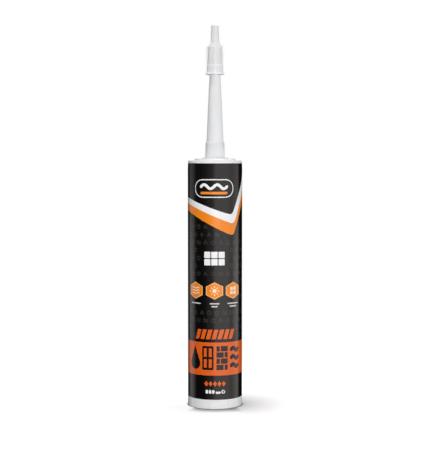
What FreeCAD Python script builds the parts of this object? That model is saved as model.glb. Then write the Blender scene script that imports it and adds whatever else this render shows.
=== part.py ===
"""Sealant cartridge of about 280 ml: a barrel with a push-up piston, a screw-on nozzle and a finned cap.

Millimetres. +Z runs up the barrel's axis, the origin is the centre of the open rear rim that the
cartridge stands on, and the printed front faces -Y. Every piece is turned about that axis, apart
from the thread, the label's seam, the piston's gussets and the cap's fins.
"""

import FreeCAD, Part
import math
import os

# Barrel: one polyethylene moulding, open at the rear, with a dished head and a threaded neck
BARREL_RADIUS = 24.7
BARREL_LENGTH = 223.0
BARREL_WALL = 1.25
REAR_EDGE_ROUND = 0.45

# The rear mouth is a little wider than the bore, so that the piston can be pressed in
MOUTH_WIDENING = 0.35
MOUTH_DEPTH = 16.0
MOUTH_TAPER = 2.0

# The outside draws in slightly towards the head
HEAD_DRAFT = 0.35
HEAD_DRAFT_LENGTH = 7.0
HEAD_EDGE_ROUND = 0.7
HEAD_THICKNESS = 2.2

# A low round plateau carries the neck, and the head is dished under it
SHOULDER_WIDTH = 6.2
PLATEAU_RISE = 1.8
PLATEAU_EDGE = 0.4
DISH_WALL = 1.3

# Neck: closed by a thin skin until it is cut
NECK_ROOT_RADIUS = 6.5
NECK_WALL = 1.4
NECK_FOOT_ROUND = 0.5
NECK_STRAIGHT = 11.2
NECK_TIP_HEIGHT = 2.2
NECK_TIP_DRAW_IN = 1.1
NECK_SKIN = 0.8

THREAD_PITCH = 3.0
THREAD_DEPTH = 0.8
THREAD_ROOT_WIDTH = 1.7
THREAD_CREST_WIDTH = 0.8
THREAD_START = 1.2
THREAD_TURN = 40.0
THREAD_BITE = 0.3

# Label: a printed film moulded flush into the barrel, with a narrow seam at the back
LABEL_THICKNESS = 0.1
LABEL_BOTTOM = 8.5
LABEL_TOP_MARGIN = 2.4
LABEL_SEAM = 1.2

# Piston: a cup with two sealing lips, whose front nests in the head's dish
REAR_RECESS = 37.6
PISTON_LENGTH = 20.0
PISTON_WALL = 1.3
PISTON_FRONT = 1.7
PISTON_RELIEF = 0.55
LIP_WIDTH = 2.4
LIP_TAPER = 0.9
LIP_CLEARANCE = 0.05
GUSSETS = 8
GUSSET_THICKNESS = 1.2
GUSSET_REACH = 7.0
GUSSET_DROP = 6.0
PISTON_NEST_GAP = 0.5
GATE_RADIUS = 2.5
GATE_HEIGHT = 0.8

# Sealant: it fills what the piston, the head and the neck leave
FILL_GAP = 0.1
PISTON_FILL_GAP = 0.3

# Nozzle: its flange sits on the plateau, and its socket slides over the neck's thread
FLANGE_WIDTH = 2.75
FLANGE_THICKNESS = 0.9
SOCKET_CLEARANCE = 0.1
SOCKET_HEADROOM = 0.5
SOCKET_CHAMFER = 0.5
COLLAR_WALL = 1.1
COLLAR_DRAFT = 0.35
COLLAR_FOOT_ROUND = 0.5
COLLAR_BEVEL = 1.7
COLLAR_DRAW_IN = 0.85
NOZZLE_LENGTH = 101.7
NOZZLE_WALL = 1.25
TIP_RADIUS = 3.75
TIP_WALL = 1.45
TIP_EDGE_ROUND = 0.3

# Below its tip the nozzle steps in to a nearly straight land, which the cap grips
LAND_BELOW_CAP = 9.0
LAND_ABOVE_GRIP = 0.5
LAND_STEP = 0.28
LAND_TOP_RADIUS = 4.93
LAND_DRAFT = 0.19

# Cap: a flange, a stepped skirt, a core, a sloping shoulder and a hollow pin, one above the other
CAP_RADIUS = 8.4
CAP_FLANGE_HEIGHT = 1.5
SKIRT_LENGTH = 7.0
SKIRT_DRAFT = 0.2
SKIRT_STEP = 0.35
CORE_LENGTH = 16.2
CORE_DRAFT = 0.4
SHOULDER_RISE = 3.7
PIN_LENGTH = 15.6
PIN_FOOT_RADIUS = 3.9
PIN_DRAFT = 0.5
PIN_TOP_ROUND = 0.5
PIN_WALL = 1.6
CAP_WALL = 1.2
CAP_TOP_WALL = 1.4
GRIP_CLEARANCE = 0.06
GRIP_CHAMFER = 0.3
SEAL_CLEARANCE = 0.1
SEAL_ABOVE_CORE = 1.3
FINS = 4
FIN_PROUD = 1.05
FIN_DRAFT = 0.25
FIN_THICKNESS = 1.0
FIN_EDGE_ROUND = 0.25

AXIS = FreeCAD.Vector(0, 0, 1)
ORIGIN = FreeCAD.Vector(0, 0, 0)

# Barrel and neck: sizes that more than one piece takes
BORE_RADIUS = BARREL_RADIUS - BARREL_WALL
MOUTH_RADIUS = BORE_RADIUS + MOUTH_WIDENING
HEAD_RADIUS = BARREL_RADIUS - HEAD_DRAFT
PLATEAU_RADIUS = BARREL_RADIUS - SHOULDER_WIDTH
DISH_RADIUS = PLATEAU_RADIUS - DISH_WALL
SEAT = BARREL_LENGTH + PLATEAU_RISE
HEAD_INSIDE = BARREL_LENGTH - HEAD_THICKNESS
DISH_INSIDE = SEAT - HEAD_THICKNESS
DRAFT_START = BARREL_LENGTH - HEAD_DRAFT_LENGTH
LABEL_TOP = BARREL_LENGTH - LABEL_TOP_MARGIN
NECK_HEIGHT = NECK_STRAIGHT + NECK_TIP_HEIGHT
NECK_TOP = SEAT + NECK_HEIGHT
NECK_TIP_RADIUS = NECK_ROOT_RADIUS - NECK_TIP_DRAW_IN
NECK_BORE_RADIUS = NECK_ROOT_RADIUS - NECK_WALL
THREAD_CREST_RADIUS = NECK_ROOT_RADIUS + THREAD_DEPTH
PISTON_FACE = REAR_RECESS + PISTON_LENGTH
NOSE_RADIUS = DISH_RADIUS - PLATEAU_RISE - PISTON_NEST_GAP

# Cap: heights above its own mouth
SKIRT_TOP = CAP_FLANGE_HEIGHT + SKIRT_LENGTH
CORE_TOP = SKIRT_TOP + CORE_LENGTH
PIN_FOOT = CORE_TOP + SHOULDER_RISE
SEAL_HEIGHT = CORE_TOP + SEAL_ABOVE_CORE
SKIRT_TOP_RADIUS = CAP_RADIUS - FIN_PROUD - SKIRT_DRAFT
CORE_TOP_RADIUS = SKIRT_TOP_RADIUS - SKIRT_STEP - CORE_DRAFT

# Nozzle: heights above the plateau, where the cap's mouth lies so that its seal meets the tip
COLLAR_HEIGHT = NECK_HEIGHT + SOCKET_HEADROOM
CONE_FOOT = COLLAR_HEIGHT + COLLAR_BEVEL
CAP_MOUTH = NOZZLE_LENGTH - SEAL_HEIGHT
LAND_FOOT = CAP_MOUTH - LAND_BELOW_CAP
LAND_TOP = CAP_MOUTH + CAP_FLANGE_HEIGHT + LAND_ABOVE_GRIP


def point(radius, height):
    """A point of a half section, which is drawn in the XZ plane."""
    return FreeCAD.Vector(radius, 0, height)


def rounded_outline(corners):
    """Closed wire through (radius, height) corners. A third number rounds that corner with that radius."""
    places = [point(c[0], c[1]) for c in corners]
    rounds = [c[2] if len(c) > 2 else 0.0 for c in corners]
    count = len(corners)
    starts, ends, arcs = [], [], []
    for i, corner in enumerate(places):
        to_last = (places[i - 1] - corner).normalize()
        to_next = (places[(i + 1) % count] - corner).normalize()
        if rounds[i] == 0.0:
            starts.append(corner)
            ends.append(corner)
            arcs.append(None)
            continue
        half = to_last.getAngle(to_next) / 2
        setback = rounds[i] / math.tan(half)
        middle = (to_last + to_next).normalize()
        centre = corner + middle * (rounds[i] / math.sin(half))
        first = corner + to_last * setback
        last = corner + to_next * setback
        starts.append(first)
        ends.append(last)
        arcs.append(Part.Arc(first, centre - middle * rounds[i], last).toShape())
    edges = []
    for i in range(count):
        if arcs[i] is not None:
            edges.append(arcs[i])
        edges.append(Part.LineSegment(ends[i], starts[(i + 1) % count]).toShape())
    return Part.Wire(edges)


def turned(corners):
    """The solid that a half section sweeps about the axis."""
    return Part.Face(rounded_outline(corners)).revolve(ORIGIN, AXIS, 360)


def shell_radius(height):
    """Outside radius of the barrel at a height: straight, then drawn in towards the head."""
    drawn = max(0.0, height - DRAFT_START) / HEAD_DRAFT_LENGTH
    return BARREL_RADIUS - HEAD_DRAFT * drawn


def make_label():
    """The film goes almost all the way round, and its two ends leave the seam at the back."""
    top_radius = shell_radius(LABEL_TOP)
    section = Part.Face(rounded_outline([
        (BARREL_RADIUS - LABEL_THICKNESS, LABEL_BOTTOM),
        (BARREL_RADIUS, LABEL_BOTTOM),
        (BARREL_RADIUS, DRAFT_START),
        (top_radius, LABEL_TOP),
        (top_radius - LABEL_THICKNESS, LABEL_TOP),
        (BARREL_RADIUS - LABEL_THICKNESS, DRAFT_START),
    ]))
    seam_angle = math.degrees(LABEL_SEAM / BARREL_RADIUS)
    film = section.revolve(ORIGIN, AXIS, 360 - seam_angle)
    film.rotate(ORIGIN, AXIS, 90 + seam_angle / 2)
    return film


def make_neck_thread():
    """Helical ridge with a trapezoid section and blunt moulded ends, bitten a little into the neck."""
    foot = SEAT + THREAD_START
    top = SEAT + NECK_STRAIGHT
    inner = NECK_ROOT_RADIUS - THREAD_BITE
    root_half = THREAD_ROOT_WIDTH / 2
    crest_half = THREAD_CREST_WIDTH / 2
    slope = (root_half - crest_half) / THREAD_DEPTH
    buried_half = root_half + slope * THREAD_BITE
    section = Part.makePolygon([
        point(inner, -buried_half),
        point(THREAD_CREST_RADIUS, -crest_half),
        point(THREAD_CREST_RADIUS, crest_half),
        point(inner, buried_half),
        point(inner, -buried_half),
    ])
    run = top - foot - THREAD_ROOT_WIDTH
    helix = Part.makeHelix(THREAD_PITCH, run, NECK_ROOT_RADIUS)
    ridge = helix.makePipeShell([section], True, True)
    ridge.rotate(ORIGIN, AXIS, THREAD_TURN)
    ridge.translate(FreeCAD.Vector(0, 0, foot + root_half))
    return ridge


def make_barrel(label):
    """Barrel wall, dished head and closed neck in one moulding, with the film's place cut into it."""
    shell = turned([
        (MOUTH_RADIUS, 0),
        (BARREL_RADIUS, 0, REAR_EDGE_ROUND),
        (BARREL_RADIUS, DRAFT_START),
        (HEAD_RADIUS, BARREL_LENGTH, HEAD_EDGE_ROUND),
        (PLATEAU_RADIUS, BARREL_LENGTH),
        (PLATEAU_RADIUS, SEAT, PLATEAU_EDGE),
        (NECK_ROOT_RADIUS, SEAT, NECK_FOOT_ROUND),
        (NECK_ROOT_RADIUS, SEAT + NECK_STRAIGHT),
        (NECK_TIP_RADIUS, NECK_TOP),
        (0, NECK_TOP),
        (0, NECK_TOP - NECK_SKIN),
        (NECK_TIP_RADIUS - NECK_SKIN, NECK_TOP - NECK_SKIN),
        (NECK_BORE_RADIUS, SEAT + NECK_STRAIGHT),
        (NECK_BORE_RADIUS, DISH_INSIDE),
        (DISH_RADIUS - PLATEAU_RISE, DISH_INSIDE),
        (DISH_RADIUS, HEAD_INSIDE),
        (BORE_RADIUS, HEAD_INSIDE),
        (BORE_RADIUS, MOUTH_DEPTH + MOUTH_TAPER),
        (MOUTH_RADIUS, MOUTH_DEPTH),
    ])
    return shell.cut(label).fuse(make_neck_thread()).removeSplitter()


def make_gusset(cavity_radius, ceiling):
    """Triangular web in the corner between the piston's wall and its front, standing in the XZ plane."""
    outer = cavity_radius + PISTON_WALL / 2
    inner = cavity_radius - GUSSET_REACH
    top = ceiling + PISTON_FRONT / 2
    web = Part.Face(Part.makePolygon([
        point(outer, ceiling - GUSSET_DROP),
        point(outer, top),
        point(inner, top),
        point(inner, ceiling),
        point(outer, ceiling - GUSSET_DROP),
    ]))
    gusset = web.extrude(FreeCAD.Vector(0, GUSSET_THICKNESS, 0))
    gusset.translate(FreeCAD.Vector(0, -GUSSET_THICKNESS / 2, 0))
    return gusset


def make_piston():
    """Thin cup with a lip at each end, a raised front that nests in the dish, and gussets inside."""
    lip = BORE_RADIUS - LIP_CLEARANCE
    waist = lip - PISTON_RELIEF
    cavity = waist - PISTON_WALL
    foot = REAR_RECESS
    face = PISTON_FACE
    nose = face + PLATEAU_RISE
    ceiling = face - PISTON_FRONT
    cup = turned([
        (cavity, foot),
        (lip - LIP_TAPER / 2, foot),
        (lip, foot + LIP_TAPER),
        (lip, foot + LIP_WIDTH),
        (waist, foot + LIP_WIDTH + LIP_TAPER),
        (waist, face - LIP_WIDTH - LIP_TAPER),
        (lip, face - LIP_WIDTH),
        (lip, face - LIP_TAPER),
        (lip - LIP_TAPER / 2, face),
        (NOSE_RADIUS + PLATEAU_RISE, face),
        (NOSE_RADIUS, nose),
        (0, nose),
        (0, nose - PISTON_FRONT - GATE_HEIGHT),
        (GATE_RADIUS, nose - PISTON_FRONT - GATE_HEIGHT),
        (GATE_RADIUS, nose - PISTON_FRONT),
        (NOSE_RADIUS - PISTON_FRONT / 2, nose - PISTON_FRONT),
        (NOSE_RADIUS + PLATEAU_RISE - PISTON_FRONT / 2, ceiling),
        (cavity, ceiling),
    ])
    gussets = []
    for i in range(GUSSETS):
        gusset = make_gusset(cavity, ceiling)
        gusset.rotate(ORIGIN, AXIS, 360 * (i + 0.5) / GUSSETS)
        gussets.append(gusset)
    return cup.fuse(gussets).removeSplitter()


def make_sealant():
    """Paste from the piston's face to the skin that closes the neck."""
    column_radius = BORE_RADIUS - FILL_GAP
    neck_radius = NECK_BORE_RADIUS - FILL_GAP
    tip_radius = NECK_TIP_RADIUS - NECK_SKIN - FILL_GAP
    dish_radius = DISH_RADIUS - FILL_GAP
    nose_radius = NOSE_RADIUS + PISTON_FILL_GAP
    foot = PISTON_FACE + PISTON_FILL_GAP
    return turned([
        (0, foot + PLATEAU_RISE),
        (nose_radius, foot + PLATEAU_RISE),
        (nose_radius + PLATEAU_RISE, foot),
        (column_radius, foot),
        (column_radius, HEAD_INSIDE - FILL_GAP),
        (dish_radius, HEAD_INSIDE - FILL_GAP),
        (dish_radius - PLATEAU_RISE, DISH_INSIDE - FILL_GAP),
        (neck_radius, DISH_INSIDE - FILL_GAP),
        (neck_radius, SEAT + NECK_STRAIGHT - FILL_GAP),
        (tip_radius, NECK_TOP - NECK_SKIN - FILL_GAP),
        (0, NECK_TOP - NECK_SKIN - FILL_GAP),
    ])


def land_radius(height):
    """Outside radius of the nozzle's land at a height above the plateau."""
    share_below_top = (LAND_TOP - height) / (LAND_TOP - LAND_FOOT)
    return LAND_TOP_RADIUS + LAND_DRAFT * share_below_top


def make_nozzle():
    """Flange, threaded collar and long cone in one moulding, open right through."""
    socket = THREAD_CREST_RADIUS + SOCKET_CLEARANCE
    collar_top = socket + COLLAR_WALL
    collar_foot = collar_top + COLLAR_DRAFT
    cone_foot = collar_top - COLLAR_DRAW_IN
    nozzle = turned([
        (socket + SOCKET_CHAMFER, 0),
        (collar_foot + FLANGE_WIDTH, 0),
        (collar_foot + FLANGE_WIDTH, FLANGE_THICKNESS),
        (collar_foot, FLANGE_THICKNESS, COLLAR_FOOT_ROUND),
        (collar_top, COLLAR_HEIGHT),
        (cone_foot, CONE_FOOT),
        (land_radius(LAND_FOOT) + LAND_STEP, LAND_FOOT - LAND_STEP),
        (land_radius(LAND_FOOT), LAND_FOOT),
        (LAND_TOP_RADIUS, LAND_TOP),
        (TIP_RADIUS, NOZZLE_LENGTH, TIP_EDGE_ROUND),
        (TIP_RADIUS - TIP_WALL, NOZZLE_LENGTH),
        (cone_foot - NOZZLE_WALL, CONE_FOOT),
        (socket, COLLAR_HEIGHT),
        (socket, SOCKET_CHAMFER),
    ])
    nozzle.translate(FreeCAD.Vector(0, 0, SEAT))
    return nozzle


def make_fin(core_inside):
    """Flat web that runs up the skirt and the core and slopes in over the shoulder, in the XZ plane."""
    foot = CAP_FLANGE_HEIGHT / 2
    top_radius = CAP_RADIUS - FIN_DRAFT
    web = Part.Face(rounded_outline([
        (core_inside, foot),
        (CAP_RADIUS, foot),
        (top_radius, CORE_TOP),
        (PIN_FOOT_RADIUS, PIN_FOOT + FIN_EDGE_ROUND),
        (PIN_FOOT_RADIUS - PIN_WALL / 2, PIN_FOOT),
        (core_inside, CORE_TOP),
    ])).extrude(FreeCAD.Vector(0, FIN_THICKNESS, 0))
    web.translate(FreeCAD.Vector(0, -FIN_THICKNESS / 2, 0))
    long_edges = [
        edge for edge in web.Edges
        if edge.BoundBox.XMin > top_radius - FIN_DRAFT and edge.BoundBox.ZLength > FIN_THICKNESS
    ]
    return web.makeFillet(FIN_EDGE_ROUND, long_edges)


def make_cap():
    """Thin cap with a flange, a stepped skirt, a hollow pin to pull it by and fins to turn it by."""
    grip_foot = land_radius(CAP_MOUTH) + GRIP_CLEARANCE
    grip_top = land_radius(CAP_MOUTH + CAP_FLANGE_HEIGHT) + GRIP_CLEARANCE
    skirt_inside = SKIRT_TOP_RADIUS - SKIRT_STEP - CAP_WALL
    core_inside = CORE_TOP_RADIUS - CAP_WALL
    pin_inside = PIN_FOOT_RADIUS - PIN_WALL
    seal_radius = TIP_RADIUS + SEAL_CLEARANCE
    seal_slope = (CORE_TOP_RADIUS - PIN_FOOT_RADIUS) / SHOULDER_RISE
    seal_foot = SEAL_HEIGHT - (core_inside - seal_radius) / seal_slope
    seal_top = SEAL_HEIGHT + (seal_radius - pin_inside) / seal_slope
    top = PIN_FOOT + PIN_LENGTH
    core = turned([
        (grip_foot + GRIP_CHAMFER, 0),
        (CAP_RADIUS, 0, GRIP_CHAMFER),
        (CAP_RADIUS, CAP_FLANGE_HEIGHT, GRIP_CHAMFER),
        (CAP_RADIUS - FIN_PROUD, CAP_FLANGE_HEIGHT),
        (SKIRT_TOP_RADIUS, SKIRT_TOP),
        (SKIRT_TOP_RADIUS - SKIRT_STEP, SKIRT_TOP),
        (CORE_TOP_RADIUS, CORE_TOP),
        (PIN_FOOT_RADIUS, PIN_FOOT),
        (PIN_FOOT_RADIUS - PIN_DRAFT, top, PIN_TOP_ROUND),
        (0, top),
        (0, top - CAP_TOP_WALL),
        (pin_inside - PIN_DRAFT / 2, top - CAP_TOP_WALL),
        (pin_inside, seal_top),
        (core_inside, seal_foot),
        (skirt_inside, CAP_FLANGE_HEIGHT + CAP_WALL),
        (grip_top, CAP_FLANGE_HEIGHT),
        (grip_foot, GRIP_CHAMFER),
    ])
    fins = []
    for i in range(FINS):
        fin = make_fin(CORE_TOP_RADIUS - CAP_WALL / 2)
        fin.rotate(ORIGIN, AXIS, 360 * i / FINS)
        fins.append(fin)
    cap = core.fuse(fins).removeSplitter()
    cap.translate(FreeCAD.Vector(0, 0, SEAT + CAP_MOUTH))
    return cap


def only_solid(shape):
    """The one solid of a boolean's result."""
    solids = shape.Solids
    if len(solids) != 1:
        raise ValueError("expected one solid and got %d" % len(solids))
    return solids[0]


def build():
    """Every piece by the name of its node."""
    label = make_label()
    return {
        "barrel": make_barrel(label),
        "label": label,
        "piston": make_piston(),
        "sealant": make_sealant(),
        "nozzle": make_nozzle(),
        "nozzle_cap": make_cap(),
    }


def main():
    os.makedirs("parts", exist_ok=True)
    for name, shape in build().items():
        solid = only_solid(shape)
        solid.exportStep("parts/%s.step" % name)
        print("%-11s %8.2f ml  valid %s" % (name, solid.Volume / 1000, solid.isValid()))
    stroke = HEAD_INSIDE - PISTON_FACE - PISTON_NEST_GAP
    print("piston stroke %.1f mm" % stroke)


main()
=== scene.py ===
"""Looks of the sealant cartridge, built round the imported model.

Metres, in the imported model's own frame: +Z up the barrel's axis, the printed front towards -Y.
The print is drawn flat in millimetres: across is the distance to the right of the front's middle
line, round the barrel, and up is the height above the base.
"""

import math
import random

import bpy
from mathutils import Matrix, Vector
from mathutils.geometry import delaunay_2d_cdt


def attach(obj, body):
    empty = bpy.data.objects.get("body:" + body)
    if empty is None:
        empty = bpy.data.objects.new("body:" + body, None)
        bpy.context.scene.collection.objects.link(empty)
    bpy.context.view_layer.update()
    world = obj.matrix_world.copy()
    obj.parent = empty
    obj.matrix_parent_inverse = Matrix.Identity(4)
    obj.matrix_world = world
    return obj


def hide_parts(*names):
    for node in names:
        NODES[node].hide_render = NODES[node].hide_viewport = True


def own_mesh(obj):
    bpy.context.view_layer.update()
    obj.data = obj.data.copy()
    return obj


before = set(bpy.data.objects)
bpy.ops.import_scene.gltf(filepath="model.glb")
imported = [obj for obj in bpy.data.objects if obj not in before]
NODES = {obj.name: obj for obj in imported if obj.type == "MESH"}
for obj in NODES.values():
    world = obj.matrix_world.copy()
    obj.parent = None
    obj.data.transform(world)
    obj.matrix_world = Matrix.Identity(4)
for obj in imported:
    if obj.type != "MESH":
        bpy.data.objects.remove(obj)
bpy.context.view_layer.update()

MM = 0.001

# Camera: at the photograph's distance and tilt
CAMERA_DISTANCE = 1.115
CAMERA_HEIGHT = 0.2287
CAMERA_TILT = 3.650
CAMERA_LENS = 95.01

# Print, in millimetres: (across, up) places, and heights above the base
EMBLEM_PLACE = (-1.0, 198.3)
TILES_PLACE = (-0.5, 135.8)
DASH_HEIGHT = 67.6
BAND_TOP = 60.4
BAND_BOTTOM = 30.5
DIAMOND_HEIGHT = 23.0
SMALL_ROW_HEIGHT = 15.7
SMALL_BAR_HEIGHT = 15.0

# Pictures on the band: their width, height and pitch
PICTURE_WIDTH = 10.6
PICTURE_TALL = 21.6
PICTURE_PITCH = 13.2

# Sash: where its straight fall starts, how round it turns, and its three edges. Each edge has the three
# numbers of the plane that cuts it, where it turns, the bend of its rise, and where that meets the film's top
SASH_START = -38.0
SASH_ROUNDING = 3.5
SASH_WHITE_TOP = (182.0, 8.8, 2.5, 16.7, (23.2, 191.3), 42.0)
SASH_AMBER_TOP = (174.8, 10.5, 1.7, 18.9, (24.9, 184.3), 49.6)
SASH_AMBER_BOTTOM = (166.8, 12.7, 3.3, 17.9, (24.9, 175.9), 54.4)

# Badges: their height, their turns about the axis in degrees, their size and their rim
BADGE_HEIGHT = 106.8
BADGE_ANGLES = (-44.6, -1.0, 41.1)
BADGE_WIDTH = 15.6
BADGE_TALL = 15.4
BADGE_RIM = 0.75

# Faint pattern: its pitch, half the size of its shapes, and its lowest row
GHOST_PITCH = 7.0
GHOST_SIZE = 2.0
GHOST_BOTTOM = 66.0

# Panels on the back: their turn from the front in degrees, and their width, height and middle
PANEL_TURN = 128
PANEL_WIDTH = 38.0
PANEL_TALL = 62.0
PANEL_HEIGHT = 114.0

# Film: its thickness, the step of its upright cuts in degrees, and where its outside, its inside and its
# rim lie side by side on the square that it is baked to
FILM_THICKNESS = 0.08
GRID_STEP = 2.5
BAKE_MARGIN = 0.005
INSIDE_PLACE = 0.76
INSIDE_SCALE = 0.25
RIM_PLACE = 0.97
RIM_WIDTH = 0.01

# Cap: painted highlights, paler on its fins' outer edges and in a line at its skirt's step, in metres
CAP_HIGHLIGHT_RADII = (0.0075, 0.0080)
CAP_HIGHLIGHT_HEIGHT = 0.3087
CAP_HIGHLIGHT_SPREAD = 0.0004
CAP_HIGHLIGHT_COLOUR = (0.97, 0.97, 0.98)

# Nozzle: painted shade, its collar over the neck greyer than the cone, up to this height in metres
COLLAR_SHADE_TOP = 0.2395
COLLAR_SHADE_COLOUR = (0.80, 0.80, 0.81)

# Floor, in metres, for the painted contact shadow, a dark line under the base: how far it reaches behind the
# base and in front, between which depths the one turns into the other, how much sooner that ends at the
# sides, and how fast it darkens
CONTACT_REACHES = (0.0015, 0.018)
CONTACT_DEPTHS = (-0.010, -0.022)
CONTACT_NARROWING = 0.35
CONTACT_POWER = 2.8

# Wide soft shade on the floor at the right: its reach in metres, how fast it darkens, and the two shares
# of the way to the right between which it comes in
SHADE_REACH = 0.055
SHADE_POWER = 1.2
SHADE_SHARES = (0.2, 0.8)

# Sealant: radius in millimetres where the piston's nose starts to slope, a length in millimetres that its
# straight walls pass and its slopes don't, how many sides its column and its plug have, and the angle in
# degrees past which their edges stay sharp
NOSE_EDGE = 15.2
LONG_WALL = 5.0
COLUMN_SIDES = 96
PLUG_SIDES = 48
SHARP_ANGLE = 30

# Studio that the gloss reflects. Each card runs between two turns, with a soft edge, all in degrees
# from the camera's side and + to the right, and has a brightness at an upper, a middle and a lower height.
# The wall that holds them has points at each height in CARD_ROWS and at every CARD_STEP degrees of turn
CARD_UPPER = 0.195
CARD_MIDDLE = 0.07
CARD_LOWER = -0.09
CARD_ROWS = (-0.40, CARD_LOWER, -0.05, 0.0, CARD_MIDDLE, 0.11, 0.15, CARD_UPPER, 0.6)
CARD_STEP = 3.0
CARD_TINT = (1.05, 0.99, 0.97)
CARDS = (
    (-131, -95, 20, 0.40, 1.05, 0.76),
    (-90, -50, 20, 0.05, 0.01, 0.01),
    (-50, -33, 14, 0.12, 0.05, 0.05),
    (-33, -4, 14, 0.30, 0.30, 0.30),
    (-4, 61, 16, 1.20, 1.40, 1.25),
    (61, 84, 10, 0.85, 0.82, 0.85),
    (84, 114, 14, 0.85, 1.75, 1.20),
)

# Colours, linear
BLACK = (0.0032, 0.0030, 0.0028)
GHOST = (0.031, 0.029, 0.027)
WHITE_INK = (0.88, 0.88, 0.89)
GREY_INK = (0.66, 0.66, 0.67)
ORANGE = (0.76, 0.120, 0.010)
AMBER = (0.90, 0.245, 0.010)
AMBER_RIM = (0.95, 0.52, 0.20)
PALE_ON_AMBER = (0.93, 0.78, 0.55)


# Materials

def node_of(tree, kind, **inputs):
    """A new shader node with the given input values."""
    node = tree.nodes.new(kind)
    for name, value in inputs.items():
        node.inputs[name.replace("_", " ")].default_value = value
    return node


def feed(tree, socket, value):
    """Gives a socket a number, or links the output of another node to it."""
    if isinstance(value, (int, float)):
        socket.default_value = value
    else:
        tree.links.new(value, socket)


def worked(tree, operation, *values):
    """The result of a maths node. Each value is a number or the output of another node."""
    step = tree.nodes.new("ShaderNodeMath")
    step.operation = operation
    for socket, value in zip(step.inputs, values):
        feed(tree, socket, value)
    return step.outputs[0]


def mapped(tree, value, start, end, smooth=False):
    """A value taken from the range start to the range end, and held at its limits."""
    spread = tree.nodes.new("ShaderNodeMapRange")
    if smooth:
        spread.interpolation_type = "SMOOTHSTEP"
    feed(tree, spread.inputs["Value"], value)
    for name, limit in zip(("From Min", "From Max", "To Min", "To Max"), (*start, *end)):
        feed(tree, spread.inputs[name], limit)
    return spread.outputs["Result"]


def mixed(tree, share, first, second):
    """A mix of two colours, each of them three numbers or the output of another node."""
    mix = tree.nodes.new("ShaderNodeMix")
    mix.data_type = "RGBA"
    tree.links.new(share, mix.inputs["Factor"])
    for name, colour in (("A", first), ("B", second)):
        if isinstance(colour, (tuple, list)):
            mix.inputs[name].default_value = (*colour, 1)
        else:
            tree.links.new(colour, mix.inputs[name])
    return mix.outputs["Result"]


def object_place(tree):
    """Coordinates on the object in metres, whole and split."""
    place = tree.nodes.new("ShaderNodeTexCoord").outputs["Object"]
    split = tree.nodes.new("ShaderNodeSeparateXYZ")
    tree.links.new(place, split.inputs[0])
    return place, split.outputs


def length_of(tree, vector):
    """The length of a vector."""
    length = tree.nodes.new("ShaderNodeVectorMath")
    length.operation = "LENGTH"
    tree.links.new(vector, length.inputs[0])
    return length.outputs["Value"]


def noise_of(tree, place, size, detail=2.0):
    """Noise whose grains are about the given size, in metres."""
    noise = node_of(tree, "ShaderNodeTexNoise", Scale=1.0 / size, Detail=detail)
    tree.links.new(place, noise.inputs["Vector"])
    return noise.outputs["Fac"]


def stretched(tree, place, scale):
    """Coordinates scaled along each axis, for patterns that run along one of them."""
    mapping = node_of(tree, "ShaderNodeMapping", Scale=scale)
    tree.links.new(place, mapping.inputs["Vector"])
    return mapping.outputs["Vector"]


def ranged(tree, value, low, high):
    """A noise value, most of which lies between a quarter and three quarters, spread from low to high."""
    return mapped(tree, value, (0.25, 0.75), (low, high))


def tinted(tree, value, colour, variation):
    """The colour, darker and lighter by the given share with the noise."""
    darker = [c * (1 - variation) for c in colour]
    lighter = [min(1.0, c * (1 + variation)) for c in colour]
    return mixed(tree, value, darker, lighter)


def bumped(tree, layers):
    """One normal from several (height, depth in metres) layers of bump."""
    normal = None
    for height, depth in layers:
        bump = node_of(tree, "ShaderNodeBump", Strength=1.0, Distance=depth)
        tree.links.new(height, bump.inputs["Height"])
        if normal is not None:
            tree.links.new(normal, bump.inputs["Normal"])
        normal = bump.outputs["Normal"]
    return normal


def started(name):
    """A material with an empty shader, and its object coordinates."""
    material = bpy.data.materials.new(name)
    material.use_nodes = True
    tree = material.node_tree
    shader = tree.nodes["Principled BSDF"]
    place = tree.nodes.new("ShaderNodeTexCoord").outputs["Object"]
    return material, tree, shader, place


def plastic(name, colour, roughness, see_into, depth=0.0012, grain=0.0004, grain_depth=0.000006):
    """Moulded polyethylene: a little light passes in, and the mould leaves a fine satin grain."""
    material, tree, shader, place = started(name)
    cloud = noise_of(tree, place, 0.018, 3.0)
    fine = noise_of(tree, place, grain, 2.0)
    flow = noise_of(tree, stretched(tree, place, (1, 1, 0.08)), 0.0016, 2.0)
    tree.links.new(tinted(tree, cloud, colour, 0.02), shader.inputs["Base Color"])
    tree.links.new(ranged(tree, flow, roughness - 0.05, roughness + 0.05), shader.inputs["Roughness"])
    tree.links.new(bumped(tree, [(fine, grain_depth), (flow, grain_depth)]), shader.inputs["Normal"])
    shader.inputs["Subsurface Weight"].default_value = see_into
    shader.inputs["Subsurface Radius"].default_value = (1.0, 0.95, 0.9)
    shader.inputs["Subsurface Scale"].default_value = depth
    shader.inputs["IOR"].default_value = 1.51
    return material


def recolour(material, colour, share):
    """Mixes another colour into the material's own, by a share from 0 to 1."""
    tree = material.node_tree
    socket = tree.nodes["Principled BSDF"].inputs["Base Color"]
    tree.links.new(mixed(tree, share, socket.links[0].from_socket, colour), socket)


def painted_cap_highlights(material, colour, radii, height, spread):
    """Painted highlights where thin moulded edges catch the light: paler beyond a radius, and near a height.
    """
    tree = material.node_tree
    _, split = object_place(tree)
    flat = tree.nodes.new("ShaderNodeCombineXYZ")
    tree.links.new(split["X"], flat.inputs["X"])
    tree.links.new(split["Y"], flat.inputs["Y"])
    outer = mapped(tree, length_of(tree, flat.outputs[0]), radii, (0.0, 1.0))
    near = worked(tree, "COMPARE", split["Z"], height, spread)
    recolour(material, colour, worked(tree, "MAXIMUM", outer, near))


def painted_shade_below(material, colour, height, spread=0.0006):
    """Painted shade where two walls lie one over the other: another colour below a height."""
    tree = material.node_tree
    _, split = object_place(tree)
    recolour(material, colour, mapped(tree, split["Z"], (height + spread, height - spread), (0.0, 1.0)))


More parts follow.
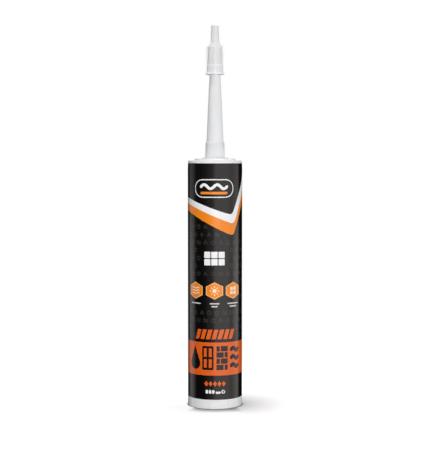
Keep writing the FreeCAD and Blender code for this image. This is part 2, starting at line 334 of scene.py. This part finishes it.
def ink(name, colour, roughness=0.17):
    """Printed film under gloss: faint mottle in the ink, and fine waves where the film follows the wall."""
    material, tree, shader, place = started(name)
    mottle = noise_of(tree, place, 0.0009, 3.0)
    waves = noise_of(tree, stretched(tree, place, (1, 1, 0.2)), 0.006, 2.0)
    fine = noise_of(tree, place, 0.0005, 2.0)
    tree.links.new(tinted(tree, mottle, colour, 0.05), shader.inputs["Base Color"])
    tree.links.new(ranged(tree, fine, roughness - 0.02, roughness + 0.03), shader.inputs["Roughness"])
    tree.links.new(bumped(tree, [(waves, 0.000012), (fine, 0.0000006)]), shader.inputs["Normal"])
    shader.inputs["IOR"].default_value = 1.5
    return material


# Shapes of the print, as closed outlines in millimetres, anticlockwise

def moved(outline, across, up):
    return [(x + across, y + up) for x, y in outline]


def ellipse(width, tall, count=28):
    turn = 2 * math.pi / count
    return [(width / 2 * math.cos(i * turn), tall / 2 * math.sin(i * turn)) for i in range(count)]


def box(width, tall):
    w, t = width / 2, tall / 2
    return [(-w, -t), (w, -t), (w, t), (-w, t)]


def rounded_box(width, tall, corner, count=6):
    """A box with round corners. A pill is one whose corners take up its whole height."""
    outline = []
    for quarter, (sx, sy) in enumerate([(1, 1), (-1, 1), (-1, -1), (1, -1)]):
        for i in range(count + 1):
            angle = math.pi / 2 * (quarter + i / count)
            outline.append((
                sx * (width / 2 - corner) + corner * math.cos(angle),
                sy * (tall / 2 - corner) + corner * math.sin(angle),
            ))
    return outline


def pill(width, tall):
    return rounded_box(width, tall, tall / 2 - 0.01)


def polygon(sides, width, tall, turn=90.0):
    """A regular polygon with a corner at the given angle, scaled to fit a width and a height."""
    angles = [math.radians(turn + 360 * i / sides) for i in range(sides)]
    points = [(math.cos(a), math.sin(a)) for a in angles]
    across = max(x for x, y in points) - min(x for x, y in points)
    up = max(y for x, y in points) - min(y for x, y in points)
    return [(x * width / across, y * tall / up) for x, y in points]


def drop(width, tall, count=20):
    """A round belly that runs up to a point."""
    radius = width / 2
    centre = radius - tall / 2
    tangent = math.acos(radius / (tall - radius))
    outline = [(0.0, tall / 2)]
    for i in range(count + 1):
        angle = math.pi / 2 + tangent + (2 * math.pi - 2 * tangent) * i / count
        outline.append((radius * math.cos(angle), centre + radius * math.sin(angle)))
    return outline


def ribbon(width, tall, thick, waves, count=40):
    """A wavy line of even thickness with round ends."""
    def middle(share):
        return Vector(((share - 0.5) * width, tall / 2 * math.sin(2 * math.pi * waves * share)))
    left, right = [], []
    for i in range(count + 1):
        share = i / count
        ahead = (middle(share + 0.001) - middle(share - 0.001)).normalized()
        side = Vector((-ahead.y, ahead.x)) * (thick / 2)
        left.append(middle(share) + side)
        right.append(middle(share) - side)
    ends = []
    for share, way in ((1.0, 1), (0.0, -1)):
        ahead = (middle(share + 0.001) - middle(share - 0.001)).normalized() * way
        side = Vector((-ahead.y, ahead.x)) * (thick / 2)
        ends.append([
            middle(share) - side * math.cos(a) + ahead * (thick / 2) * math.sin(a)
            for a in (math.pi * i / 6 for i in range(1, 6))
        ])
    return [tuple(p) for p in right + ends[0] + left[::-1] + ends[1]]


class Print:
    """The fields of colour on the film, each painted over the ones before it."""

    def __init__(self, width, bottom, top):
        self.width, self.bottom, self.top = width, bottom, top
        self.fields = []
        self.kept_clear = []

    def paint(self, colour, outline, across=0.0, up=0.0):
        self.fields.append((colour, moved(outline, across, up)))

    def keep_clear(self, across, up, width, tall):
        self.kept_clear.append((across, up, width / 2, tall / 2))

    def is_clear(self, across, up, margin):
        return all(
            abs(across - x) > w + margin or abs(up - y) > t + margin
            for x, y, w, t in self.kept_clear
        )


def curve(start, bend, end, count=14):
    """A quadratic curve, without its first point."""
    shares = [(i + 1) / count for i in range(count)]
    return [
        tuple((1 - t) ** 2 * a + 2 * t * (1 - t) * b + t ** 2 * c for a, b, c in zip(start, bend, end))
        for t in shares
    ]


def sash_height(cut, across, radius):
    """A falling edge of the sash: the cut of a plane through the barrel."""
    angle = across / radius
    return cut[0] - cut[1] * math.sin(angle) - cut[2] * math.cos(angle)


def sash_edge(cut, radius, top):
    """An edge of the sash, from the film's top behind the left side to its top behind the right side.

    It falls across the front, turns with a small round corner at the right, and rises again.
    """
    turn, bend, end = cut[3:]
    steps = 40
    falling = [SASH_START + (turn - SASH_ROUNDING - SASH_START) * i / steps for i in range(steps + 1)]
    line = [(across, sash_height(cut, across, radius)) for across in falling]
    corner = (turn, sash_height(cut, turn, radius))
    rising = [p for p in curve(corner, bend, (end, top)) if p[0] > turn + 0.3 * SASH_ROUNDING]
    left_end = (2 * SASH_START - (end - turn) * 0.55, top)
    left_bend = (SASH_START - 7.0, line[0][1] + 2.2)
    left = curve(line[0], left_bend, left_end)[::-1]
    return left + line + curve(line[-1], corner, rising[0], 6)[:-1] + rising


def paint_ghosts(design, radius):
    """Small faint outlines in staggered rows on the black, between the sash and the band."""
    chance = random.Random(7)
    columns = int(design.width / GHOST_PITCH)
    row = 0
    up = GHOST_BOTTOM
    while up < design.top:
        shift = GHOST_PITCH / 2 * (row % 2)
        for column in range(columns):
            across = (column - columns / 2 + 0.25) * GHOST_PITCH + shift
            kind = chance.randrange(6)
            limit = sash_height(SASH_AMBER_BOTTOM, across, radius) - GHOST_SIZE - 1.2
            too_near = abs(across) > design.width / 2 - GHOST_SIZE - 0.5
            if up > limit or too_near or not design.is_clear(across, up, GHOST_SIZE):
                continue
            outer = 2 * GHOST_SIZE
            inner = outer - 1.5
            if kind == 0:
                design.paint("ghost", ellipse(outer, outer, 20), across, up)
                design.paint("black", ellipse(inner, inner, 20), across, up)
            elif kind == 1:
                design.paint("ghost", rounded_box(outer - 0.4, outer - 0.4, 0.6, 3), across, up)
                design.paint("black", rounded_box(inner - 0.4, inner - 0.4, 0.3, 2), across, up)
            elif kind == 2:
                design.paint("ghost", polygon(3, outer + 0.3, outer), across, up)
                design.paint("black", polygon(3, inner - 0.7, inner - 0.8), across, up - 0.25)
            elif kind == 3:
                design.paint("ghost", box(outer, 0.9), across, up)
                design.paint("ghost", box(0.9, outer), across, up)
            elif kind == 4:
                design.paint("ghost", polygon(6, outer - 0.2, outer), across, up)
                design.paint("black", polygon(6, inner - 0.3, inner), across, up)
            else:
                design.paint("ghost", ribbon(outer, 1.4, 0.9, 1.0, 10), across, up + 0.9)
                design.paint("ghost", ribbon(outer, 1.4, 0.9, 1.0, 10), across, up - 0.9)
        up += GHOST_PITCH
        row += 1


def paint_emblem(design, across, up):
    """White outlined pill with a laid bead in it, over an amber bar."""
    design.paint("white", pill(38, 16.5), across, up)
    design.paint("black", pill(36.2, 14.7), across, up)
    design.paint("white", ribbon(24, 3.6, 2.5, 2.0, 48), across, up + 1.6)
    design.paint("amber", pill(25, 2.3), across, up - 4.1)


def paint_tiles(design, across, up):
    """Two rows of three tiles with joints between them."""
    tile, joint = 5.7, 0.8
    for column in (-1, 0, 1):
        for row in (-0.5, 0.5):
            place = (across + column * (tile + joint), up + row * (tile + joint))
            design.paint("white", rounded_box(tile, tile, 0.5, 3), *place)
    design.keep_clear(across, up, 22, 15)


def paint_badges(design, radius):
    """Three amber hexagons with a pale mark each, and plain bars for their captions."""
    for number, angle in enumerate(BADGE_ANGLES):
        across = math.radians(angle) * radius
        up = BADGE_HEIGHT
        inner = 2 * BADGE_RIM
        design.paint("amber_rim", polygon(6, BADGE_WIDTH, BADGE_TALL), across, up)
        design.paint("amber", polygon(6, BADGE_WIDTH - inner, BADGE_TALL - inner), across, up)
        if number == 0:
            for row in (-2.4, 0.0, 2.4):
                design.paint("pale", ribbon(8.2, 1.0, 0.9, 1.5, 24), across, up + row)
        elif number == 1:
            design.paint("pale", ellipse(3.6, 3.6), across, up)
            for i in range(8):
                turn = math.radians(45 * i)
                spoke = [(x * math.cos(turn) - y * math.sin(turn), x * math.sin(turn) + y * math.cos(turn))
                         for x, y in moved(box(1.6, 0.8), 3.5, 0)]
                design.paint("pale", spoke, across, up)
        else:
            for side in (-1, 1):
                for row in (-1, 1):
                    design.paint("pale", box(3.0, 3.0), across + side * 1.85, up + row * 1.85)
        for line, wide in enumerate(((11.5, 0), (9.0, 6.0), (12.5, 8.0))[number]):
            if wide:
                design.paint("grey", pill(wide, 1.1), across, up - 11.5 - 2.6 * line)
        design.keep_clear(across, up - 3, 18, 22)


def paint_band(design):
    """Orange band with four tall dark pictures: a drop, a window, brickwork and waves."""
    middle = (BAND_BOTTOM + BAND_TOP) / 2 + 0.8
    half = design.width / 2
    design.paint("orange", [(-half, BAND_BOTTOM), (half, BAND_BOTTOM), (half, BAND_TOP), (-half, BAND_TOP)])
    wide, tall = PICTURE_WIDTH, PICTURE_TALL
    places = [(i - 1.5) * PICTURE_PITCH for i in range(4)]
    design.paint("black", drop(wide + 1.0, tall), places[0], middle)
    design.paint("black", rounded_box(wide, tall, 1.0, 4), places[1], middle)
    for side in (-0.5, 0.5):
        design.paint("orange", box(2.7, 7.8), places[1] + side * 4.7, middle + side * 9.8)
        design.paint("orange", box(2.7, 7.8), places[1] + side * 4.7, middle - side * 9.8)
    for row in range(4):
        up = middle + (row - 1.5) * 5.6
        lengths = ((6.6, 3.1), (3.1, 6.6))[row % 2]
        design.paint("black", box(lengths[0], 4.8), places[2] - (wide - lengths[0]) / 2, up)
        design.paint("black", box(lengths[1], 4.8), places[2] + (wide - lengths[1]) / 2, up)
    for row in (-1, 0, 1):
        design.paint("black", ribbon(wide - 2.6, 2.6, 3.4, 1.0, 28), places[3], middle + row * 7.4)


def paint_small_rows(design):
    """Orange dashes above the band, and orange diamonds and small white shapes below it."""
    for i in range(7):
        slanted = [(-3.2, -4.4), (0.6, -4.4), (3.2, 4.4), (-0.6, 4.4)]
        design.paint("orange", slanted, (i - 3) * 5.3, DASH_HEIGHT)
    design.keep_clear(0, DASH_HEIGHT, 38, 9)
    for i in range(5):
        design.paint("orange", polygon(4, 3.7, 5.2), (i - 2) * 4.0, DIAMOND_HEIGHT)
    for i in range(3):
        design.paint("white", rounded_box(2.3, 3.4, 0.9, 4), -7.4 + 2.9 * i, SMALL_ROW_HEIGHT)
    design.paint("white", pill(4.6, 2.0), 2.9, SMALL_BAR_HEIGHT)
    design.paint("white", ellipse(3.4, 3.4), 7.6, SMALL_ROW_HEIGHT)
    design.paint("black", ellipse(1.8, 1.8), 7.6, SMALL_ROW_HEIGHT)


def paint_back(design, radius):
    """A pale panel on each side of the seam, with plain bars in place of small print."""
    chance = random.Random(11)
    wide, tall, up = PANEL_WIDTH, PANEL_TALL, PANEL_HEIGHT
    longest = wide - 5.0
    for side in (-1, 1):
        across = side * math.radians(PANEL_TURN) * radius
        design.paint("grey", rounded_box(wide, tall, 1.5), across, up)
        design.paint("white", rounded_box(wide - 0.8, tall - 0.8, 1.2), across, up)
        row = up + tall / 2 - 4.0
        while row > up - tall / 2 + 3.0:
            length = longest * chance.choice((1.0, 1.0, 0.95, 0.6))
            design.paint("black", pill(length, 0.7), across - (longest - length) / 2, row)
            row -= 2.1 if chance.random() > 0.2 else 3.6
        design.keep_clear(across, up, wide, tall)


def draw_print(radius, width, bottom, top):
    design = Print(width, bottom, top)
    half = width / 2
    design.paint("black", [(-half, bottom), (half, bottom), (half, top), (-half, top)])
    paint_emblem(design, *EMBLEM_PLACE)
    white_top = sash_edge(SASH_WHITE_TOP, radius, top)
    amber_top = sash_edge(SASH_AMBER_TOP, radius, top)
    amber_bottom = sash_edge(SASH_AMBER_BOTTOM, radius, top)
    design.paint("white", amber_top + white_top[::-1])
    design.paint("amber", amber_bottom + amber_top[::-1])
    paint_tiles(design, *TILES_PLACE)
    paint_badges(design, radius)
    paint_band(design)
    paint_small_rows(design)
    paint_back(design, radius)
    paint_ghosts(design, radius)
    return design


def anticlockwise(outline):
    area = sum(
        outline[i - 1][0] * outline[i][1] - outline[i][0] * outline[i - 1][1]
        for i in range(len(outline))
    )
    return outline if area > 0 else outline[::-1]


def cut_fields(design, grid):
    """Triangles of the flat film, cut along every field's edge and along upright grid lines."""
    corners, edges, faces = [], [], []
    for _, outline in design.fields:
        first = len(corners)
        corners += [Vector(p) for p in anticlockwise(outline)]
        faces.append(list(range(first, len(corners))))
    for across in grid:
        first = len(corners)
        corners += [Vector((across, design.bottom)), Vector((across, design.top))]
        edges.append((first, first + 1))
    first = len(corners)
    corners += [Vector((-design.width / 2, draft_start)), Vector((design.width / 2, draft_start))]
    edges.append((first, first + 1))
    points, _, triangles, _, _, sources = delaunay_2d_cdt(corners, edges, faces, 1, 1e-5, True)
    colours = [design.fields[max(source)][0] if source else "black" for source in sources]
    return points, triangles, colours


def profile(node):
    """(height, radius) of a turned node's outside, at each level where it has vertices."""
    levels = {}
    for vertex in NODES[node].data.vertices:
        height = round(vertex.co.z, 5)
        levels[height] = max(levels.get(height, 0.0), math.hypot(vertex.co.x, vertex.co.y))
    return sorted(levels.items())


label_profile = profile("label")
label_bottom = label_profile[0][0] / MM
label_top, label_top_radius = (value / MM for value in label_profile[-1])
label_radius = label_profile[0][1] / MM
draft_start = max(h for h, r in label_profile if r > label_profile[0][1] - 0.00002) / MM


def film_radius(up):
    """Outside radius of the film, which draws in with the barrel near the head."""
    drawn = max(0.0, up - draft_start) / (label_top - draft_start)
    return label_radius + (label_top_radius - label_radius) * drawn


def film_width():
    """Length of the film round the barrel: all of it but the seam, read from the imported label."""
    widest = max(
        abs(math.atan2(v.co.x, -v.co.y)) for v in NODES["label"].data.vertices
    )
    return 2 * widest * label_radius


def make_label(inks):
    """The film as a thin closed shell, with one material for each ink."""
    width = film_width()
    design = draw_print(label_radius, width, label_bottom, label_top)
    lines = int(360 / GRID_STEP)
    grid = [width * (i / lines - 0.5) for i in range(lines + 1)]
    points, triangles, colours = cut_fields(design, grid)
    count = len(points)
    vertices, normals = [], []
    for depth in (0.0, FILM_THICKNESS):
        for point in points:
            angle = point.x / label_radius
            radius = (film_radius(point.y) - depth) * MM
            vertices.append((radius * math.sin(angle), -radius * math.cos(angle), point.y * MM))
    names = sorted(inks)
    faces = [tuple(t) for t in triangles]
    slots = [names.index(colour) for colour in colours]
    outer = len(faces)
    edge_use = {}
    for a, b, c in faces[:outer]:
        for edge in ((a, b), (b, c), (c, a)):
            edge_use[edge] = edge_use.get(edge, 0) + 1
    rim = [edge for edge in edge_use if (edge[1], edge[0]) not in edge_use]
    for a, b, c in faces[:outer]:
        faces.append((a + count, c + count, b + count))
        slots.append(names.index("white"))
    for a, b in rim:
        faces.append((b, a, a + count, b + count))
        slots.append(names.index("white"))
    mesh = bpy.data.meshes.new("label_film")
    mesh.from_pydata(vertices, [], faces)
    for name in names:
        mesh.materials.append(inks[name])
    mesh.polygons.foreach_set("material_index", slots)
    mesh.polygons.foreach_set("use_smooth", [True] * len(faces))
    uv = mesh.uv_layers.new(name="OFBake")
    tall = design.top - design.bottom
    baked = 1 - 2 * BAKE_MARGIN
    for polygon_number, face in enumerate(mesh.polygons):
        for loop in face.loop_indices:
            vertex = mesh.loops[loop].vertex_index
            point = points[vertex % count]
            across = (point.x + width / 2) / tall
            up = (point.y - design.bottom) / tall
            if polygon_number >= 2 * outer:
                across = RIM_PLACE + (RIM_WIDTH if vertex >= count else 0.0)
            elif polygon_number >= outer:
                across = INSIDE_PLACE + across * INSIDE_SCALE
            uv.data[loop].uv = (BAKE_MARGIN + across * baked, BAKE_MARGIN + up * baked)
    for face_number, face in enumerate(mesh.polygons):
        for loop in face.loop_indices:
            place = Vector(vertices[mesh.loops[loop].vertex_index])
            radial = Vector((place.x, place.y, 0)).normalized()
            if face_number < outer:
                normals.append(radial)
            elif face_number < 2 * outer:
                normals.append(-radial)
            else:
                normals.append(face.normal)
    mesh.normals_split_custom_set(normals)
    label = bpy.data.objects.new("label_film", mesh)
    bpy.context.scene.collection.objects.link(label)
    print("label: %d faces, %d fields" % (len(faces), len(design.fields)))
    return label


# Turned pieces

def lathe(name, outline, segments, material):
    """A closed outline of (radius, height) in millimetres, turned about the axis."""
    vertices, rings = [], []
    for radius, height in outline:
        if radius < 1e-6:
            rings.append([len(vertices)])
            vertices.append((0, 0, height * MM))
        else:
            rings.append(list(range(len(vertices), len(vertices) + segments)))
            for i in range(segments):
                angle = 2 * math.pi * i / segments
                vertices.append((radius * MM * math.cos(angle), radius * MM * math.sin(angle), height * MM))
    faces = []
    for lower, upper in zip(rings, rings[1:] + rings[:1]):
        if len(lower) == 1 and len(upper) == 1:
            continue
        for i in range(segments):
            j = (i + 1) % segments
            corners = [
                lower[i % len(lower)], lower[j % len(lower)], upper[j % len(upper)], upper[i % len(upper)],
            ]
            faces.append(list(dict.fromkeys(corners)))
    mesh = bpy.data.meshes.new(name)
    mesh.from_pydata(vertices, [], faces)
    mesh.materials.append(material)
    mesh.polygons.foreach_set("use_smooth", [True] * len(faces))
    mesh.set_sharp_from_angle(angle=math.radians(SHARP_ANGLE))
    piece = bpy.data.objects.new(name, mesh)
    bpy.context.scene.collection.objects.link(piece)
    return piece


def make_sealant(material):
    """The paste, in a core and a ring that flatten ahead of the piston, and a plug in the neck.

    The core's flattened sheet lies between the piston's nose and the head's dish, and the ring's
    lies between the piston's face and the head, so neither cuts the piston at the stroke's end.
    """
    levels = [(height / MM, radius / MM) for height, radius in profile("sealant")]
    face = levels[0][0]
    column = max(radius for height, radius in levels)
    neck_top, tip_radius = levels[-1]
    head = min(height for height, radius in levels if height > face + LONG_WALL)
    dish = max(height for height, radius in levels if height < head + LONG_WALL)
    neck_bend, neck_radius = min(level for level in levels if level[0] > dish + LONG_WALL)
    rise = dish - head
    middle = NOSE_EDGE + rise / 2
    core = lathe("sealant_core", [
        (0, face + rise), (NOSE_EDGE, face + rise), (middle, face + rise / 2),
        (middle, head + rise / 2), (NOSE_EDGE, dish), (0, dish),
    ], COLUMN_SIDES, material)
    ring = lathe("sealant_ring", [
        (middle, face + rise / 2), (NOSE_EDGE + rise, face), (column, face),
        (column, head), (NOSE_EDGE + rise, head), (middle, head + rise / 2),
    ], COLUMN_SIDES, material)
    plug = lathe("sealant_neck", [
        (0, dish), (neck_radius, dish), (neck_radius, neck_bend), (tip_radius, neck_top), (0, neck_top),
    ], PLUG_SIDES, material)
    for piece in (core, ring, plug):
        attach(piece, "barrel")
        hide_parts("sealant")
    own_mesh(core)
    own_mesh(ring)


def at_turn(turn, distance, height):
    """A place at a turn about the axis from the camera's side, + to the right."""
    angle = math.radians(turn)
    return Vector((distance * math.sin(angle), -distance * math.cos(angle), height))


def softbox(name, left, right, low, high, radiance, distance=0.9):
    """A lamp that fills the turns from left to right and the elevations from low to high, seen from AIM."""
    turn = (left + right) / 2
    elevation = (low + high) / 2
    flat = distance * math.cos(math.radians(elevation))
    light = bpy.data.lights.new(name, "AREA")
    light.shape = "RECTANGLE"
    light.size = 2 * flat * math.tan(math.radians(right - left) / 2)
    light.size_y = 2 * distance * math.tan(math.radians(high - low) / 2)
    light.energy = radiance * 4 * light.size * light.size_y
    lamp = bpy.data.objects.new(name, light)
    lamp.location = at_turn(turn, flat, AIM.z + distance * math.sin(math.radians(elevation)))
    lamp.rotation_euler = (AIM - lamp.location).to_track_quat("-Z", "Y").to_euler()
    lamp.visible_camera = False
    lamp.visible_glossy = False
    bpy.context.scene.collection.objects.link(lamp)


def mouth_lamp(radius, radiance):
    """A lamp in the open rear, under the piston, which only views from below look into."""
    light = bpy.data.lights.new("mouth", "AREA")
    light.shape = "DISK"
    light.size = 2 * radius
    light.energy = radiance * math.pi * math.pi * radius * radius
    lamp = bpy.data.objects.new("mouth", light)
    lamp.location = (0, 0, 0.0004)
    lamp.rotation_euler = (math.pi, 0, 0)
    lamp.visible_camera = False
    lamp.visible_glossy = False
    bpy.context.scene.collection.objects.link(lamp)


def flat_card(name, corners, material):
    mesh = bpy.data.meshes.new(name)
    mesh.from_pydata([tuple(c) for c in corners], [], [tuple(range(len(corners)))])
    mesh.materials.append(material)
    card = bpy.data.objects.new(name, mesh)
    bpy.context.scene.collection.objects.link(card)
    return card


def smooth_step(value):
    value = min(1.0, max(0.0, value))
    return value * value * (3 - 2 * value)


def card_light(turn, height):
    """Brightness of the reflected studio: bright cards with soft edges, and black between them."""
    total = 0.0
    for left, right, edge, upper, middle, lower in CARDS:
        inside = smooth_step((turn - left) / edge + 0.5) * smooth_step((right - turn) / edge + 0.5)
        if height > CARD_MIDDLE:
            share = smooth_step((height - CARD_MIDDLE) / (CARD_UPPER - CARD_MIDDLE))
            total += inside * (middle + (upper - middle) * share)
        else:
            share = smooth_step((CARD_MIDDLE - height) / (CARD_MIDDLE - CARD_LOWER))
            total += inside * (middle + (lower - middle) * share)
    return total


def make_surround(distance=0.6):
    """A round wall of cards that only reflections see, so that the film's gloss is as in the photograph."""
    turns = [i * CARD_STEP - 180.0 for i in range(int(360 / CARD_STEP) + 1)]
    vertices, shades = [], []
    for height in CARD_ROWS:
        for turn in turns:
            vertices.append(tuple(at_turn(turn, distance, height)))
            shades.append(card_light(turn, height))
    wide = len(turns)
    faces = [
        (row * wide + i, row * wide + i + 1, (row + 1) * wide + i + 1, (row + 1) * wide + i)
        for row in range(len(CARD_ROWS) - 1) for i in range(wide - 1)
    ]
    mesh = bpy.data.meshes.new("surround")
    mesh.from_pydata(vertices, [], faces)
    shade = mesh.color_attributes.new("shade", "FLOAT_COLOR", "POINT")
    for i, value in enumerate(shades):
        shade.data[i].color = [value * c for c in CARD_TINT] + [1]
    material = bpy.data.materials.new("studio_cards")
    material.use_nodes = True
    tree = material.node_tree
    tree.nodes.clear()
    read = tree.nodes.new("ShaderNodeAttribute")
    read.attribute_name = "shade"
    glow = node_of(tree, "ShaderNodeEmission", Strength=1.0)
    out = tree.nodes.new("ShaderNodeOutputMaterial")
    tree.links.new(read.outputs["Color"], glow.inputs["Color"])
    tree.links.new(glow.outputs[0], out.inputs["Surface"])
    mesh.materials.append(material)
    wall = bpy.data.objects.new("surround", mesh)
    bpy.context.scene.collection.objects.link(wall)
    wall.visible_camera = False
    wall.visible_diffuse = False
    wall.visible_shadow = False
    wall.visible_transmission = False
    wall.visible_volume_scatter = False


def seen_directly(tree):
    """1 for rays from the camera, from reflections and through clear things, else 0."""
    rays = tree.nodes.new("ShaderNodeLightPath").outputs
    direct = worked(tree, "MAXIMUM", rays["Is Camera Ray"], rays["Is Glossy Ray"])
    return worked(tree, "MAXIMUM", direct, rays["Is Transmission Ray"])


def light_world(fill):
    """White where it is seen, and a dim fill where it lights."""
    world = bpy.data.worlds.new("studio")
    world.use_nodes = True
    tree = world.node_tree
    tree.nodes.clear()
    dim = node_of(tree, "ShaderNodeBackground", Color=(1, 1, 1, 1), Strength=fill)
    white = node_of(tree, "ShaderNodeBackground", Color=(1, 1, 1, 1), Strength=1.0)
    mix = tree.nodes.new("ShaderNodeMixShader")
    out = tree.nodes.new("ShaderNodeOutputWorld")
    tree.links.new(seen_directly(tree), mix.inputs["Fac"])
    tree.links.new(dim.outputs[0], mix.inputs[1])
    tree.links.new(white.outputs[0], mix.inputs[2])
    tree.links.new(mix.outputs[0], out.inputs["Surface"])
    bpy.context.scene.world = world


def openness(tree, reach, power):
    """1 in the open, and less near other surfaces, within a reach in metres."""
    near = tree.nodes.new("ShaderNodeAmbientOcclusion")
    feed(tree, near.inputs["Distance"], reach)
    return worked(tree, "POWER", near.outputs["AO"], power)


def painted_contact_shadow(tree, split):
    """Painted contact shadow: a dark line under the base, which reaches farthest straight in front of it."""
    aside = worked(tree, "ABSOLUTE", split["X"])
    depth = worked(tree, "MULTIPLY_ADD", aside, CONTACT_NARROWING, split["Y"])
    return openness(tree, mapped(tree, depth, CONTACT_DEPTHS, CONTACT_REACHES), CONTACT_POWER)


def right_shade(tree, split, distance):
    """Soft shade near the base at its right, where the barrel hides the high lamp."""
    rightness = worked(tree, "DIVIDE", split["X"], distance)
    power = mapped(tree, rightness, SHADE_SHARES, (0.0, SHADE_POWER), smooth=True)
    return openness(tree, SHADE_REACH, power)


def make_floor(radius, fade_from, seen_white, lighting_white, glow):
    """A white floor round the base that keeps the shadow, has painted shadow near the base, and fades into
    the white round it.

    It is as white as seen_white where it is seen, and as lighting_white where it lights the object.
    From below it is clear, so that the open rear shows.
    """
    material = bpy.data.materials.new("floor_white")
    material.use_nodes = True
    tree = material.node_tree
    tree.nodes.clear()
    place, split = object_place(tree)
    distance = length_of(tree, place)
    seen = seen_directly(tree)
    # Painted shadow: the floor darkens in a contact line under the base and in a soft shade at its right
    painted_shadow_share = worked(tree, "MULTIPLY", painted_contact_shadow(tree, split), right_shade(tree, split, distance))
    whitest = worked(tree, "MULTIPLY", painted_shadow_share, seen_white)
    paint = tree.nodes.new("ShaderNodeBsdfDiffuse")
    tree.links.new(mapped(tree, seen, (0.0, 1.0), (lighting_white, whitest)), paint.inputs["Color"])
    shine = node_of(tree, "ShaderNodeEmission", Color=(1, 1, 1, 1))
    strength = worked(tree, "MULTIPLY", worked(tree, "MULTIPLY", seen, glow), painted_shadow_share)
    tree.links.new(strength, shine.inputs["Strength"])
    lit = tree.nodes.new("ShaderNodeAddShader")
    tree.links.new(paint.outputs[0], lit.inputs[0])
    tree.links.new(shine.outputs[0], lit.inputs[1])
    fade = mapped(tree, distance, (fade_from, radius), (0.0, 1.0), smooth=True)
    below = tree.nodes.new("ShaderNodeNewGeometry").outputs["Backfacing"]
    mix = tree.nodes.new("ShaderNodeMixShader")
    tree.links.new(worked(tree, "MAXIMUM", fade, below), mix.inputs["Fac"])
    tree.links.new(lit.outputs[0], mix.inputs[1])
    tree.links.new(tree.nodes.new("ShaderNodeBsdfTransparent").outputs[0], mix.inputs[2])
    out = tree.nodes.new("ShaderNodeOutputMaterial")
    tree.links.new(mix.outputs[0], out.inputs["Surface"])
    corners = [Vector((x * radius, y * radius, 0)) for x, y in ((-1, -1), (1, -1), (1, 1), (-1, 1))]
    floor = flat_card("floor", corners, material)
    floor.visible_glossy = False


inks = {
    "black": ink("ink_black", BLACK),
    "ghost": ink("ink_ghost", GHOST),
    "white": ink("ink_white", WHITE_INK),
    "grey": ink("ink_grey", GREY_INK),
    "orange": ink("ink_orange", ORANGE),
    "amber": ink("ink_amber", AMBER),
    "amber_rim": ink("ink_amber_rim", AMBER_RIM),
    "pale": ink("ink_pale", PALE_ON_AMBER),
}
label = make_label(inks)
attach(label, "barrel")
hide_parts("label")

paste = plastic(
    "sealant_paste", (0.88, 0.88, 0.86), roughness=0.3, see_into=0.3, grain=0.003, grain_depth=0.0001,
)
make_sealant(paste)

finishes = {
    "barrel": plastic("barrel_white", (0.83, 0.83, 0.845), roughness=0.30, see_into=0.25),
    "piston": plastic("piston_natural", (0.86, 0.86, 0.85), roughness=0.45, see_into=0.35),
    "nozzle": plastic("nozzle_white", (0.93, 0.93, 0.94), roughness=0.38, see_into=0.9, depth=0.003),
    "nozzle_cap": plastic("cap_natural", (0.785, 0.785, 0.795), roughness=0.34, see_into=0.7, depth=0.002),
}
# Painted highlights: a paler colour on the cap's fin edges and at its skirt's step
painted_cap_highlights(finishes["nozzle_cap"], CAP_HIGHLIGHT_COLOUR, CAP_HIGHLIGHT_RADII, CAP_HIGHLIGHT_HEIGHT, CAP_HIGHLIGHT_SPREAD)
# Painted shade: a greyer colour on the nozzle's collar
painted_shade_below(finishes["nozzle"], COLLAR_SHADE_COLOUR, COLLAR_SHADE_TOP)
for node, material in finishes.items():
    mesh = NODES[node].data
    mesh.materials.clear()
    mesh.materials.append(material)

# Camera
camera = bpy.data.objects.new("camera", bpy.data.cameras.new("camera"))
camera.data.lens = CAMERA_LENS
camera.location = (0, -CAMERA_DISTANCE, CAMERA_HEIGHT)
camera.rotation_euler = (math.radians(90 - CAMERA_TILT), 0, 0)
bpy.context.scene.collection.objects.link(camera)
bpy.context.scene.camera = camera

# Studio. Each softbox has its left and right turns, its low and high elevations, and its radiance
AIM = Vector((0, 0, 0.17))
light_world(fill=0.13)
make_floor(radius=0.30, fade_from=0.12, seen_white=0.80, lighting_white=0.22, glow=0.31)
make_surround()
softbox("left_high", -140, -40, 62, 86, 4.8)
softbox("front_low", -16, 20, -10, 20, 6.2)
softbox("right_low", 75, 135, 5, 40, 1.6)
softbox("behind", 125, 205, -5, 30, 2.4)
mouth_lamp(radius=0.022, radiance=0.90)

bpy.context.scene.view_settings.view_transform = "Standard"
